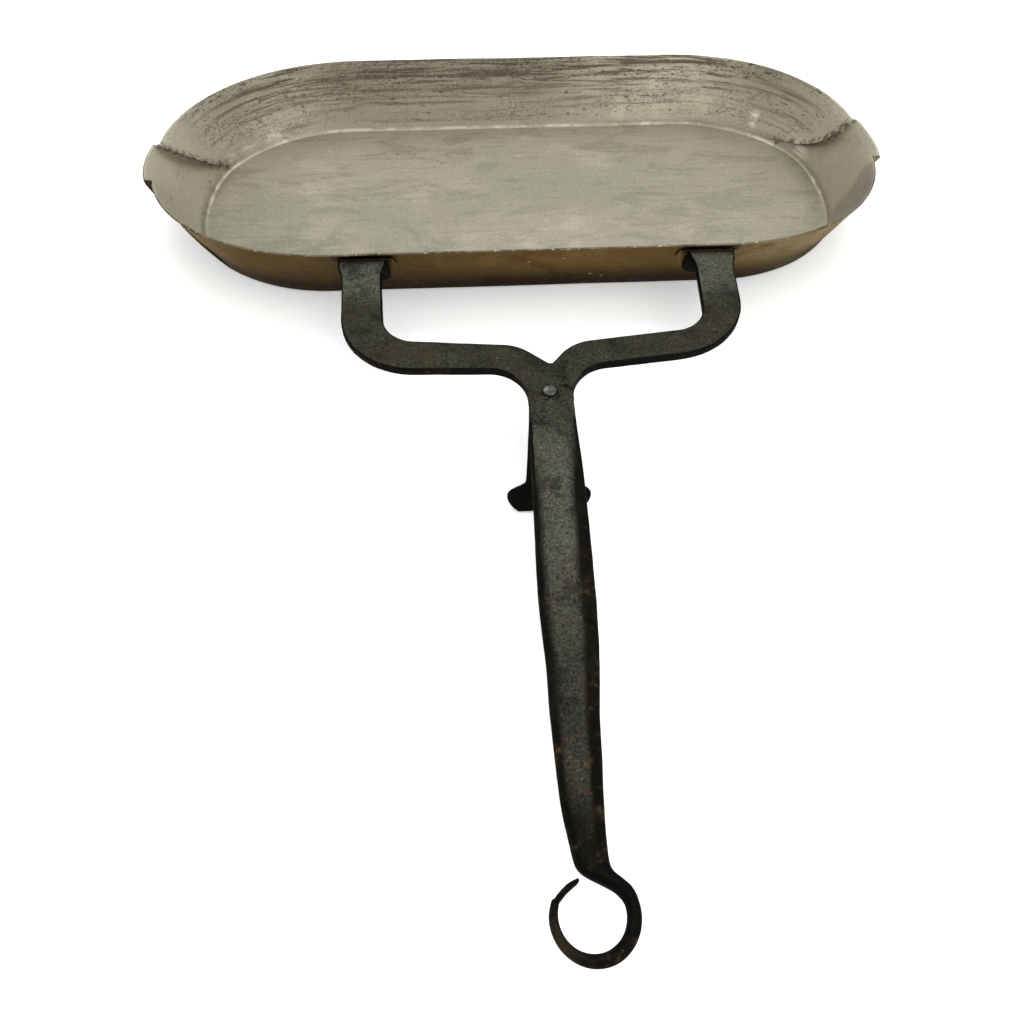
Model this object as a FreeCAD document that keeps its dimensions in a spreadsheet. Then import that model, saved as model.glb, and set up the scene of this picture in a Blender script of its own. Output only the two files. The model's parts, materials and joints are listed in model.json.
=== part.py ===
"""An oblong brass dripping pan, tinned inside, on a forged iron fork with a hanging eye and a swivelling leg.

Millimetres. +Z is up, +Y points from the handle to the pan's far side and X runs along the pan. The origin
is the middle of the pan's flat underside, on the surface that the pan stands on.
"""
import FreeCAD, Part
import math
import os

import Sketcher

OUT = "parts"
DIMENSIONS = {
    # the pan: a stadium floor, walls that lean out, and a lip pinched out of each end
    "pan_height": 45.0,
    "sheet": 1.5,
    "wall_tilt": 29.0,
    "floor_centre": 124.0,
    "floor_radius": 101.0,
    "rim_centre": 113.0,
    "right_lip_reach": 244.5,
    "right_lip_shift": 4.5,
    "left_lip_reach": 249.0,
    "left_lip_shift": 17.0,
    "lip_half": 24.0,
    "lip_bow": 2.5,
    "lip_corner": 0.6,
    "crease_half": 56.0,
    "crease_width": 3.0,
    # the fork: flat strap from the pan's wall round to the neck, in one plane that droops to the eye
    "fork_shift": 5.0,
    "fork_drop": 4.7,
    "droop": 2.9,
    "strap_width": 22.0,
    "strap_thick": 5.0,
    "arm_reach": 99.2,
    "left_splay": 4.0,
    "right_splay": 5.0,
    "crossbar_width": 18.8,
    "left_drop": 76.7,
    "right_drop": 71.6,
    "shoulder_drop": 81.0,
    "outer_bend": 44.0,
    "inner_bend": 20.0,
    "crotch_shoulder": 15.0,
    "crotch_bend": 26.0,
    "crotch_drop": 87.2,
    "head_drop": 96.0,
    "neck_half": 11.6,
    "neck_curve": 21.0,
    "neck_drop": 120.0,
    # the palms, their brass pads and the rivets through the wall
    "palm_half": 14.0,
    "palm_length": 20.0,
    "palm_thick": 4.0,
    "palm_flare": 8.0,
    "palm_corner": 7.0,
    "fold_radius": 4.0,
    "pad_half": 17.5,
    "pad_top": 3.5,
    "pad_length": 21.0,
    "pad_thick": 1.5,
    "pad_corner": 8.0,
    "palm_rivet_radius": 2.5,
    "palm_rivet_half_pitch": 5.5,
    "palm_rivet_down": 15.0,
    "palm_head_radius": 4.4,
    "palm_head_height": 2.0,
    "inner_head_radius": 3.8,
    "inner_head_height": 1.0,
    # the shank: flat below, crowned above, thinning to the hanging eye
    "edge_thick": 3.8,
    "neck_crown": 1.4,
    "grip_crown": 3.4,
    "tail_crown": 1.8,
    "grip_half": 12.8,
    "grip_drop": 193.0,
    "grip_shift": 0.4,
    "grip_end_half": 12.5,
    "grip_end_drop": 233.0,
    "grip_end_shift": 1.0,
    "waist_half": 9.2,
    "waist_drop": 298.0,
    "waist_shift": 2.5,
    "tail_half": 6.8,
    "tail_drop": 329.0,
    "tail_shift": 2.0,
    "eye_drop": 351.9,
    "eye_radius": 12.0,
    "eye_shift": 2.65,
    "ring_radius": 16.4,
    "ring_shift": 1.75,
    "eye_thick": 5.6,
    "ring_start": 45.0,
    "ring_end": 128.0,
    "eye_start": 58.0,
    "tip_shift": 7.15,
    "tip_drop": 339.3,
    "tip_half": 0.6,
    # the rivet under the neck and the leg that turns on it
    "rivet_drop": 107.9,
    "rivet_radius": 3.0,
    "rivet_head_radius": 3.7,
    "rivet_head_height": 0.8,
    "rivet_tail_radius": 5.0,
    "rivet_tail_height": 2.2,
    "running_gap": 0.06,
    "leg_gap": 0.3,
    "leg_thick": 4.0,
    "leg_half": 10.6,
    "leg_head": 12.0,
    "leg_bend": 26.0,
    "leg_reach": 53.0,
    "foot_half": 21.4,
    "foot_sole_half": 16.4,
    "foot_shift": 2.9,
    "foot_sole": 4.0,
    "foot_cheek": 6.5,
    "foot_shoulder": 11.0,
}


class Size:
    """A number together with the expression over the sheet that gives it."""

    def __init__(self, value, text=None):
        self.value = float(value)
        self.text = text or repr(float(value))

    @staticmethod
    def of(other):
        return other if isinstance(other, Size) else Size(other)

    def join(self, other, sign, value):
        return Size(value, f"({self.text} {sign} {Size.of(other).text})")

    def __add__(self, other):
        return self.join(other, "+", self.value + Size.of(other).value)

    def __sub__(self, other):
        return self.join(other, "-", self.value - Size.of(other).value)

    def __mul__(self, other):
        return self.join(other, "*", self.value * Size.of(other).value)

    def __truediv__(self, other):
        return self.join(other, "/", self.value / Size.of(other).value)

    def __neg__(self):
        return self * -1

    __radd__ = __add__
    __rmul__ = __mul__

    def __rsub__(self, other):
        return Size.of(other) - self


def root(size):
    return Size(math.sqrt(size.value), f"sqrt({size.text})")


def sine(size):
    return Size(math.sin(math.radians(size.value)), f"sin({size.text} * 1 deg)")


def cosine(size):
    return Size(math.cos(math.radians(size.value)), f"cos({size.text} * 1 deg)")


def beside(radius, offset):
    """How far a circle of this radius reaches at this offset from its centre."""
    return root(radius * radius - offset * offset)


def bow_radius(half, rise):
    """The radius of an arc that rises this much over a chord of twice this half."""
    return (half * half + rise * rise) / (rise * 2)


def round_the(centre, radius, degrees):
    """A point on a circle in a sketch."""
    return (centre[0] + radius * cosine(degrees), centre[1] + radius * sine(degrees))


doc = FreeCAD.newDocument("dripping_pan")
sheet = doc.addObject("Spreadsheet::Sheet", "dims")
for row, (alias, number) in enumerate(DIMENSIONS.items(), start=1):
    sheet.set(f"A{row}", alias)
    sheet.set(f"B{row}", str(number))
    sheet.setAlias(f"B{row}", alias)
doc.recompute()
dim = {alias: Size(number, f"dims.{alias}") for alias, number in DIMENSIONS.items()}

X_AXIS = FreeCAD.Vector(1, 0, 0)
RIM_BESIDE = dim["floor_radius"] + dim["pan_height"] * sine(dim["wall_tilt"]) / cosine(dim["wall_tilt"])


# --- the ways a sub-part is placed and drawn ------------------------------------------------------


def bind(thing, path, size):
    size = Size.of(size)
    thing.setExpression(path, size.text)


def place(thing, x=0, y=0, z=0, axis=X_AXIS, degrees=0):
    """Put an object at a point, turned about one axis, all of it bound to the sheet."""
    turn = Size.of(degrees)
    thing.Placement = FreeCAD.Placement(FreeCAD.Vector(0, 0, 0), FreeCAD.Rotation(axis, turn.value or 1.0))
    for path, size in (("x", x), ("y", y), ("z", z)):
        bind(thing, f"Placement.Base.{path}", size)
    bind(thing, "Placement.Rotation.Angle", turn)
    return thing


def in_fork(thing):
    """The fork's frame: its origin is under the rim, with z = 0 on top of the strap and -y towards the eye."""
    height = dim["pan_height"] - dim["fork_drop"]
    return place(thing, dim["fork_shift"], -RIM_BESIDE, height, X_AXIS, dim["droop"])


def on_wall(thing, across, down=0, out=0):
    """The wall's frame: y runs up the wall from the rim and z points out of it."""
    tilt = dim["wall_tilt"]
    y = -RIM_BESIDE + down * sine(tilt) - out * cosine(tilt)
    z = dim["pan_height"] - down * cosine(tilt) - out * sine(tilt)
    return place(thing, across, y, z, X_AXIS, tilt + 90)


def new_body(name):
    return doc.addObject("PartDesign::Body", name)


def draw(body, name, plane, corners, lift=0):
    """Draw one closed outline. A corner is (x, y), or (x, y, radius) where an arc leads on from it:
    a positive radius bows the arc to the right of its chord, and a negative one to the left."""
    sketch = body.newObject("Sketcher::SketchObject", name)
    origin = next(f for f in body.Origin.OriginFeatures if f.Role == plane)
    sketch.AttachmentSupport = (origin, [""])
    sketch.MapMode = "FlatFace"
    bind(sketch, "AttachmentOffset.Base.z", lift)
    spots = [FreeCAD.Vector(Size.of(c[0]).value, Size.of(c[1]).value, 0) for c in corners]
    for index, corner in enumerate(corners):
        start = spots[index]
        end = spots[(index + 1) % len(corners)]
        if len(corner) == 2:
            sketch.addGeometry(Part.LineSegment(start, end), False)
            continue
        radius = Size.of(corner[2]).value
        chord = end - start
        away = FreeCAD.Vector(chord.y, -chord.x, 0).normalize() * math.copysign(1.0, radius)
        sag = abs(radius) - math.sqrt(radius * radius - chord.Length * chord.Length / 4)
        sketch.addGeometry(Part.Arc(start, (start + end) / 2 + away * sag, end), False)
    add = sketch.addConstraint
    count = len(corners)
    ends = []
    for index, corner in enumerate(corners):
        # An arc always runs counter-clockwise, so one that bows to the left starts at its far end.
        flipped = len(corner) == 3 and Size.of(corner[2]).value < 0
        ends.append((2, 1) if flipped else (1, 2))
    for index, corner in enumerate(corners):
        before = (index - 1) % count
        add(Sketcher.Constraint("Coincident", before, ends[before][1], index, ends[index][0]))
        for kind, size in (("DistanceX", corner[0]), ("DistanceY", corner[1])):
            size = Size.of(size)
            made = add(Sketcher.Constraint(kind, -1, 1, index, ends[index][0], size.value))
            bind(sketch, f"Constraints[{made}]", size)
        if len(corner) == 3:
            made = add(Sketcher.Constraint("Radius", index, abs(Size.of(corner[2]).value)))
            radius = corner[2] if Size.of(corner[2]).value > 0 else -Size.of(corner[2])
            bind(sketch, f"Constraints[{made}]", radius)
    doc.recompute()
    return sketch


def pad(body, sketch, length, reverse=False, midplane=False):
    feature = body.newObject("PartDesign::Pad", f"{sketch.Name}_pad")
    feature.Profile = sketch
    feature.Midplane = midplane
    feature.Reversed = reverse
    bind(feature, "Length", length)
    doc.recompute()
    return feature


def loft(body, kind, sketches, ruled):
    feature = body.newObject(f"PartDesign::{kind}", f"{body.Name}_{kind}".lower())
    feature.Profile = sketches[0]
    feature.Sections = sketches[1:]
    feature.Ruled = ruled
    doc.recompute()
    return feature


def fillet(body, radius, wanted):
    """Round every edge of the body's tip whose middle passes the test, in the body's own frame."""
    tip = body.Tip
    names = []
    for index, edge in enumerate(tip.Shape.Edges, start=1):
        middle = edge.valueAt((edge.FirstParameter + edge.LastParameter) / 2)
        if wanted(edge, middle):
            names.append(f"Edge{index}")
    feature = body.newObject("PartDesign::Fillet", f"{body.Name}_fillet")
    feature.Base = (tip, names)
    bind(feature, "Radius", radius)
    doc.recompute()
    return feature


def upright_at(x, y, reach=0.5):
    """A test for the upright edge nearest one corner of a plan."""
    spot = FreeCAD.Vector(Size.of(x).value, Size.of(y).value, 0)

    def wanted(edge, middle):
        box = edge.BoundBox
        flat = FreeCAD.Vector(middle.x, middle.y, 0)
        return box.XLength + box.YLength < 0.01 and flat.distanceToPoint(spot) < reach

    return wanted


def pegs(name, places, radius, length):
    """Round cutters through the wall, at the rivets' places."""
    made = []
    for index, across in enumerate(places, start=1):
        peg = doc.addObject("Part::Cylinder", f"{name}_peg_{index}")
        bind(peg, "Radius", radius)
        bind(peg, "Height", length * 2)
        made.append(on_wall(peg, across, dim["palm_rivet_down"], -length))
    joined = doc.addObject("Part::MultiFuse", f"{name}_pegs")
    joined.Shapes = made
    return joined


def cut(name, base, tool):
    feature = doc.addObject("Part::Cut", name)
    feature.Base = base
    feature.Tool = tool
    return feature


# --- the pan --------------------------------------------------------------------------------------


def end_corners(side, radius, centre, low, high, step, lip):
    """One end of the pan's outline, counter-clockwise: arc, crease, lip, crease, arc and one long side."""
    near, far = (low, high) if side > 0 else (high, low)
    near_x = (centre + beside(radius, near)) * side
    far_x = (centre + beside(radius, far)) * side
    inner_near = near + step * side
    inner_far = far - step * side
    lip_near_x, lip_far_x, lip_radius = lip(inner_near, inner_far)
    return [
        (centre * side, -radius * side, radius),
        (near_x, near),
        (lip_near_x, inner_near, lip_radius),
        (lip_far_x, inner_far),
        (far_x, far, radius),
        (centre * side, radius * side),
    ]


def floor_corners(inset):
    """The floor's outline, with its ends split where the creases of the lips reach it."""
    radius = dim["floor_radius"] - inset
    centre = dim["floor_centre"]
    corners = []
    for side, shift in ((1, dim["right_lip_shift"]), (-1, dim["left_lip_shift"])):

        def lip(near, far, side=side):
            return (centre + beside(radius, near)) * side, (centre + beside(radius, far)) * side, radius

        low = -shift - dim["crease_half"]
        high = -shift + dim["crease_half"]
        corners += end_corners(side, radius, centre, low, high, dim["crease_width"], lip)
    return corners


def rim_corners(inset):
    """The rim's outline, with a gently bowed lip that stands out of each end."""
    radius = RIM_BESIDE - inset
    centre = dim["rim_centre"]
    corners = []
    ends = (
        (1, dim["right_lip_shift"], dim["right_lip_reach"]),
        (-1, dim["left_lip_shift"], dim["left_lip_reach"]),
    )
    for side, shift, reach in ends:
        half = dim["lip_half"] - dim["lip_corner"]

        def lip(near, far, side=side, reach=reach, half=half):
            x = (reach - dim["lip_bow"] - inset) * side
            return x, x, bow_radius(half, dim["lip_bow"])

        low = -shift - dim["lip_half"]
        high = -shift + dim["lip_half"]
        corners += end_corners(side, radius, centre, low, high, dim["lip_corner"], lip)
    return corners


def make_pan():
    body = new_body("pan_shell")
    tilt = dim["wall_tilt"]
    rim_inset = dim["sheet"] / cosine(tilt)
    floor_inset = rim_inset - dim["sheet"] * sine(tilt) / cosine(tilt)
    base = draw(body, "floor_outside", "XY_Plane", floor_corners(0))
    rim = draw(body, "rim_outside", "XY_Plane", rim_corners(0), dim["pan_height"])
    loft(body, "AdditiveLoft", [base, rim], True)
    base = draw(body, "floor_inside", "XY_Plane", floor_corners(floor_inset), dim["sheet"])
    rim = draw(body, "rim_inside", "XY_Plane", rim_corners(rim_inset), dim["pan_height"])
    loft(body, "SubtractiveLoft", [base, rim], True)
    return cut("pan", body, pegs("pan", ALL_RIVETS, dim["palm_rivet_radius"], dim["sheet"] * 3))


# --- the fork's arms, with their palms on the wall ------------------------------------------------


def palm_places(side, splay):
    """Where an arm's two rivets stand, along the pan."""
    middle = (dim["arm_reach"] + splay) * side + dim["fork_shift"]
    return [middle - dim["palm_rivet_half_pitch"], middle + dim["palm_rivet_half_pitch"]]


ARMS = {
    "left": (-1, dim["left_splay"], dim["left_drop"]),
    "right": (1, dim["right_splay"], dim["right_drop"]),
}
ALL_RIVETS = [spot for side, splay, drop in ARMS.values() for spot in palm_places(side, splay)]
LEAN = dim["wall_tilt"] - dim["droop"]
# In the fork's frame: where the back of a palm, one pad's thickness off the wall, meets the strap's top.
PALM_BACK = (
    dim["fork_drop"] * sine(dim["droop"])
    + dim["fork_drop"] * cosine(dim["droop"]) * sine(LEAN) / cosine(LEAN)
    - dim["pad_thick"] / cosine(LEAN)
)
# How far the fold's rounding reaches along the strap's top and down the palm's back.
FOLD_RUN = dim["fold_radius"] * (1 - sine(LEAN)) / cosine(LEAN)


def arm_corners(side, splay, drop):
    """The plan of one arm: down from the wall, round the bend, along the crossbar and into the neck."""
    half = dim["strap_width"] / 2
    bar = dim["crossbar_width"] / 2
    reach = dim["arm_reach"]
    wall = reach + splay
    low = dim["shoulder_drop"]
    neck = dim["neck_half"]
    curve_end = neck + dim["neck_curve"]
    flare = -dim["palm_flare"]
    corners = [
        (wall - dim["palm_half"], PALM_BACK - FOLD_RUN),
        (wall - half, flare),
        (reach - half, -(drop - bar)),
        (dim["crotch_shoulder"], -(low - bar)),
        (0, -dim["crotch_drop"]),
        (0, -dim["head_drop"]),
        (neck, -dim["head_drop"]),
        (neck, -dim["neck_drop"], -side * bow_radius(dim["neck_curve"] * 0.86, dim["neck_curve"] * 0.3)),
        (curve_end, -(low + bar)),
        (reach + half, -(drop + bar)),
        (wall + half, flare),
        (wall + dim["palm_half"], PALM_BACK - FOLD_RUN),
    ]
    return [(corner[0] * side, *corner[1:]) for corner in corners]


def palm_corners():
    """The side view of the fold: strap, then the palm that hangs down the wall."""
    down = (sine(LEAN), -cosine(LEAN))
    out = (-cosine(LEAN), -sine(LEAN))
    thick = dim["palm_thick"]
    toe = (PALM_BACK + dim["palm_length"] * down[0], dim["palm_length"] * down[1])
    heel = (toe[0] + thick * out[0], toe[1] + thick * out[1])
    along = (dim["strap_thick"] + thick * out[1]) / cosine(LEAN)
    inside = (PALM_BACK + thick * out[0] + along * down[0], -dim["strap_thick"])
    shoulder = (PALM_BACK + FOLD_RUN * down[0], FOLD_RUN * down[1])
    strap_end = PALM_BACK - thick
    fold_end = (PALM_BACK - FOLD_RUN, 0, -dim["fold_radius"])
    return [shoulder, toe, heel, inside, (strap_end, -dim["strap_thick"]), (strap_end, 0), fold_end]


def make_arm(name, side, splay, drop):
    body = new_body(f"{name}_arm_strap")
    half = dim["strap_width"] / 2
    bar = dim["crossbar_width"] / 2
    plan = draw(body, f"{name}_arm_plan", "XY_Plane", arm_corners(side, splay, drop))
    pad(body, plan, dim["strap_thick"], reverse=True)
    bends = (
        (dim["outer_bend"], dim["arm_reach"] + half, -(drop + bar)),
        (dim["inner_bend"], dim["arm_reach"] - half, -(drop - bar)),
        (dim["crotch_bend"], dim["crotch_shoulder"], -(dim["shoulder_drop"] - bar)),
    )
    for radius, x, y in bends:
        fillet(body, radius, upright_at(x * side, y))
    middle = (dim["arm_reach"] + splay) * side
    profile = draw(body, f"{name}_palm_profile", "YZ_Plane", palm_corners(), middle)
    pad(body, profile, dim["palm_half"] * 2, midplane=True)
    palm_foot = palm_corners()[1][1].value

    def palm_corner(edge, spot):
        box = edge.BoundBox
        return box.XLength < 0.01 and spot.z < palm_foot - 0.1 and box.YLength > box.ZLength

    fillet(body, dim["palm_corner"], palm_corner)
    in_fork(body)
    doc.recompute()
    holes = pegs(name, palm_places(side, splay), dim["palm_rivet_radius"], dim["palm_length"])
    return cut(f"{name}_arm", body, holes)


def make_pad(name, side, splay):
    """The brass plate between a palm and the wall, with round corners and two rivet holes."""
    body = new_body(f"{name}_pad_plate")
    half = dim["pad_half"]
    corner = dim["pad_corner"]
    low = -dim["pad_length"]
    plan = [
        (-half, 0),
        (-half, low + corner, corner),
        (-half + corner, low),
        (half - corner, low, corner),
        (half, low + corner),
        (half, 0),
    ]
    pad(body, draw(body, f"{name}_pad_plan", "XY_Plane", plan), dim["pad_thick"])
    on_wall(body, (dim["arm_reach"] + splay) * side + dim["fork_shift"], dim["pad_top"])
    holes = pegs(f"{name}_pad", palm_places(side, splay), dim["palm_rivet_radius"], dim["palm_length"])
    return cut(f"{name}_pad", body, holes)


def make_palm_rivet(name, across):
    """A rivet through wall, pad and palm: set flat inside the pan and domed outside."""
    body = new_body(name)
    shaft = dim["palm_rivet_radius"]
    head = dim["palm_head_radius"]
    inside = -dim["sheet"]
    outside = dim["pad_thick"] + dim["palm_thick"]
    flat = dim["inner_head_radius"]
    profile = [
        (0, inside - dim["inner_head_height"]),
        (flat * 0.8, inside - dim["inner_head_height"]),
        (flat, inside),
        (shaft, inside),
        (shaft, outside),
        (head, outside, bow_radius(head, dim["palm_head_height"])),
        (0, outside + dim["palm_head_height"]),
    ]
    turn(body, draw(body, f"{name}_profile", "XZ_Plane", profile))
    on_wall(body, across, dim["palm_rivet_down"])
    return body


def turn(body, sketch):
    feature = body.newObject("PartDesign::Revolution", f"{sketch.Name}_turned")
    feature.Profile = sketch
    feature.ReferenceAxis = (sketch, ["V_Axis"])
    feature.Angle = 360.0
    doc.recompute()
    return feature


# --- the shank and its eye ------------------------------------------------------------------------


def make_shank():
    body = new_body("shank_bar")
    under = -dim["strap_thick"]
    edge = under + dim["edge_thick"]
    stations = (
        ("neck", dim["neck_drop"], dim["neck_half"], dim["neck_crown"], 0),
        ("grip", dim["grip_drop"], dim["grip_half"], dim["grip_crown"], dim["grip_shift"]),
        ("grip_end", dim["grip_end_drop"], dim["grip_end_half"], dim["grip_crown"], dim["grip_end_shift"]),
        ("waist", dim["waist_drop"], dim["waist_half"], dim["grip_crown"], dim["waist_shift"]),
        ("tail", dim["tail_drop"], dim["tail_half"], dim["tail_crown"], dim["tail_shift"]),
    )
    sections = []
    for name, drop, half, crown, shift in stations:
        corners = [
            (-half - shift, under),
            (half - shift, under),
            (half - shift, edge, bow_radius(half, crown)),
            (-half - shift, edge),
        ]
        sections.append(draw(body, f"{name}_section", "XZ_Plane", corners, drop))
    loft(body, "AdditiveLoft", sections, True)
    head = draw(body, "head_plan", "XY_Plane", head_corners())
    pad(body, head, dim["strap_thick"], reverse=True)
    eye = draw(body, "eye_plan", "XY_Plane", eye_corners(), under)
    pad(body, eye, dim["eye_thick"])
    in_fork(body)
    hole = doc.addObject("Part::Cylinder", "shank_hole")
    bind(hole, "Radius", dim["rivet_radius"])
    bind(hole, "Height", dim["strap_thick"] * 4)
    return cut("handle_shank", body, at_rivet(hole, -dim["strap_thick"] * 2))


def head_corners():
    """The flat head, from the crotch of the arms to where the crowned bar starts."""
    half = dim["neck_half"]
    return [
        (-half, -dim["neck_drop"]),
        (half, -dim["neck_drop"]),
        (half, -dim["head_drop"]),
        (-half, -dim["head_drop"]),
    ]


def eye_corners():
    """The hanging eye: the stem swings right, rounds the hole and comes back to a point beside the stem."""
    ring = (-dim["ring_shift"], -dim["eye_drop"])
    hole = (-dim["eye_shift"], -dim["eye_drop"])
    outside = dim["ring_radius"]
    inside = dim["eye_radius"]
    tip = (-dim["tip_shift"], -dim["tip_drop"])
    right = dim["tail_half"] - dim["tail_shift"]
    left = -dim["tail_half"] - dim["tail_shift"]
    tail = -dim["tail_drop"]
    start_out = round_the(ring, outside, dim["ring_start"])
    foot_out = round_the(ring, outside, Size(-90))
    end_out = round_the(ring, outside, dim["ring_end"])
    start_in = round_the(hole, inside, dim["eye_start"])
    foot_in = round_the(hole, inside, Size(-90))
    end_in = round_the(hole, inside, dim["ring_end"])
    return [
        (left, tail),
        (left + dim["tail_half"] * 0.45, tail - dim["tail_half"]),
        (*start_in, -inside),
        (*foot_in, -inside),
        end_in,
        (tip[0] + dim["tip_half"], tip[1] - dim["tip_half"]),
        (tip[0] - dim["tip_half"], tip[1] + dim["tip_half"]),
        (*end_out, outside),
        (*foot_out, outside),
        start_out,
        (right + dim["tail_half"] * 0.25, tail - dim["tail_half"] * 0.9),
        (right, tail),
    ]


# --- the leg and the rivet that it turns on -------------------------------------------------------


def make_leg_rivet():
    """The rivet's head lies low on the neck and its tail is burred over below the leg."""
    body = new_body("leg_rivet_turned")
    shaft = dim["rivet_radius"]
    head = dim["rivet_head_radius"]
    bottom = -dim["strap_thick"] - dim["leg_gap"] * 2 - dim["leg_thick"]
    tail = dim["rivet_tail_radius"]
    profile = [
        (0, bottom - dim["rivet_tail_height"], bow_radius(tail, dim["rivet_tail_height"])),
        (tail, bottom),
        (shaft, bottom),
        (shaft, 0),
        (head, 0, bow_radius(head, dim["rivet_head_height"])),
        (0, dim["rivet_head_height"]),
    ]
    turn(body, draw(body, "leg_rivet_profile", "XZ_Plane", profile))
    body.Label = "leg_rivet"
    return at_rivet(body)


def at_rivet(thing, lift=0):
    """The leg's frame: the fork's frame moved along its slope to the rivet, and up the rivet by a lift."""
    drop = dim["rivet_drop"]
    y = -RIM_BESIDE - drop * cosine(dim["droop"]) - lift * sine(dim["droop"])
    z = dim["pan_height"] - dim["fork_drop"] - drop * sine(dim["droop"]) + lift * cosine(dim["droop"])
    return place(thing, dim["fork_shift"], y, z, X_AXIS, dim["droop"])


def make_leg():
    """A strap bent down to the ground, cut to a splayed foot and pierced for its rivet."""
    side_body = new_body("leg_side")
    top = -dim["strap_thick"] - dim["leg_gap"]
    under = top - dim["leg_thick"]
    bend = dim["leg_bend"]
    reach = dim["leg_reach"]
    slope = sine(dim["droop"]) / cosine(dim["droop"])
    height = dim["pan_height"] - dim["fork_drop"] - (dim["rivet_drop"] + reach) * sine(dim["droop"])
    fall = height / cosine(dim["droop"])
    side = [
        (dim["leg_head"], under),
        (dim["leg_head"], top),
        (-bend, top),
        (-reach, -fall),
        (-reach + dim["foot_sole"], -fall - dim["foot_sole"] * slope),
        (-bend + dim["leg_thick"] * 0.4, under),
    ]
    pad(side_body, draw(side_body, "leg_side_view", "YZ_Plane", side), dim["foot_half"] * 3, midplane=True)
    plan_body = new_body("leg_outline")
    half = dim["leg_half"]
    cheek = -reach + dim["foot_cheek"]
    shoulder = -reach + dim["foot_shoulder"]
    shift = dim["foot_shift"]
    head_start = dim["leg_head"] - half * 0.8
    plan = [
        (-dim["foot_sole_half"] - shift, -reach),
        (dim["foot_sole_half"] - shift, -reach),
        (dim["foot_half"] - shift, cheek),
        (half - shift * 0.8, shoulder),
        (half, head_start, bow_radius(half, dim["leg_head"] - head_start)),
        (-half, head_start),
        (-half - shift * 0.8, shoulder),
        (-dim["foot_half"] - shift, cheek),
    ]
    pad(plan_body, draw(plan_body, "leg_plan_view", "XY_Plane", plan), fall * 3, midplane=True)
    shaped = doc.addObject("Part::Common", "leg_blank")
    shaped.Base = side_body
    shaped.Tool = plan_body
    hole = doc.addObject("Part::Cylinder", "leg_hole")
    bind(hole, "Radius", dim["rivet_radius"] + dim["running_gap"])
    bind(hole, "Height", fall)
    bind(hole, "Placement.Base.z", -fall)
    leg = cut("leg", shaped, hole)
    return at_rivet(leg)


# --- the object -----------------------------------------------------------------------------------

sub_parts = [make_pan()]
for arm, (arm_side, arm_splay, arm_drop) in ARMS.items():
    sub_parts.append(make_arm(arm, arm_side, arm_splay, arm_drop))
    sub_parts.append(make_pad(arm, arm_side, arm_splay))
    for number, across in enumerate(palm_places(arm_side, arm_splay), start=1):
        sub_parts.append(make_palm_rivet(f"{arm}_rivet_{number}", across))
sub_parts += [make_shank(), make_leg_rivet(), make_leg()]
doc.recompute()

for thing in doc.Objects:
    if {"Invalid", "Error"} & set(thing.State):
        raise RuntimeError(f"{thing.Name} failed: {thing.State}")
os.makedirs(OUT, exist_ok=True)
for sub_part in sub_parts:
    shape = sub_part.Shape
    if shape.isNull() or not shape.isValid() or len(shape.Solids) != 1:
        raise RuntimeError(f"{sub_part.Label} is not one valid solid")
for sub_part in sub_parts:
    shape = sub_part.Shape
    shape.exportStep(os.path.join(OUT, f"{sub_part.Label}.step"))
    box = shape.BoundBox
    print(
        f"{sub_part.Label:16s} {shape.Volume:9.0f} mm3  "
        f"x {box.XMin:7.1f} {box.XMax:7.1f}  y {box.YMin:7.1f} {box.YMax:7.1f}  z {box.ZMin:6.1f} {box.ZMax:6.1f}"
    )
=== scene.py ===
"""The looks of an oblong brass dripping pan on a forged iron fork.

The shapes are in millimetres and become metres when a mesh is made. The paints, the camera and the lamps are
in metres. The pan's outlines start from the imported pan's box, and the fork is drawn in the plane of its straps,
about the leg's rivet.
"""

import json
import math

import bpy
from mathutils import Matrix, Vector, noise


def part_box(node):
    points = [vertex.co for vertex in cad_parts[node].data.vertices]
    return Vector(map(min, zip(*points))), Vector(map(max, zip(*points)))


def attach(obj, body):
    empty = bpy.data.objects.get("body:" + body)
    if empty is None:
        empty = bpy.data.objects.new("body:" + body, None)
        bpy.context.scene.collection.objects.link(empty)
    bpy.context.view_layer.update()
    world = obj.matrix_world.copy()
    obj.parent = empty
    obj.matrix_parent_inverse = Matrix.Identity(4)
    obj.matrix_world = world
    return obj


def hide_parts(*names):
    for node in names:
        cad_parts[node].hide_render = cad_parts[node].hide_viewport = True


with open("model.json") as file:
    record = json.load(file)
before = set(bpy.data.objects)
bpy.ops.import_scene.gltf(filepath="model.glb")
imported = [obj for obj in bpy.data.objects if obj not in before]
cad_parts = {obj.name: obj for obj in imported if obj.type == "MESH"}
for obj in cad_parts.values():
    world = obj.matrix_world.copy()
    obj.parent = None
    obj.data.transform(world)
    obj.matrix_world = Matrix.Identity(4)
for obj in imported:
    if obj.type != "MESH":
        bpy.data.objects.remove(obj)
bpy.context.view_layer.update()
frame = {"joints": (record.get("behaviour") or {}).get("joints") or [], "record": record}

METRE = 1000.0
BODY = "pan_and_handle"
LEG_BODY = "leg"
JOINT = frame["joints"][0]
EYE = next(m for m in frame["record"]["mounts"] if m["name"] == "eye")


def lerp(a, b, f):
    return a + (b - a) * f


def smooth(low, high, value):
    f = min(1.0, max(0.0, (value - low) / (high - low)))
    return f * f * (3 - 2 * f)


def wobble(point, wavelength, seed=0.0):
    """Smooth noise between about -1 and 1, with bumps about one wavelength apart."""
    return noise.noise(Vector(point) / wavelength + Vector((seed, seed * 1.7, seed * 0.6)))


# --- camera, light and floor ---


# A short lens with the photograph's viewing angle.
LENS = 29.53
SHIFT_X = -0.0088
SHIFT_Y = -0.0205
CAMERA_AT = (-0.027, -0.545, 0.339)
PITCH = math.radians(51.0)
YAW = math.radians(3.18)
ROLL = math.radians(0.28)
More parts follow.
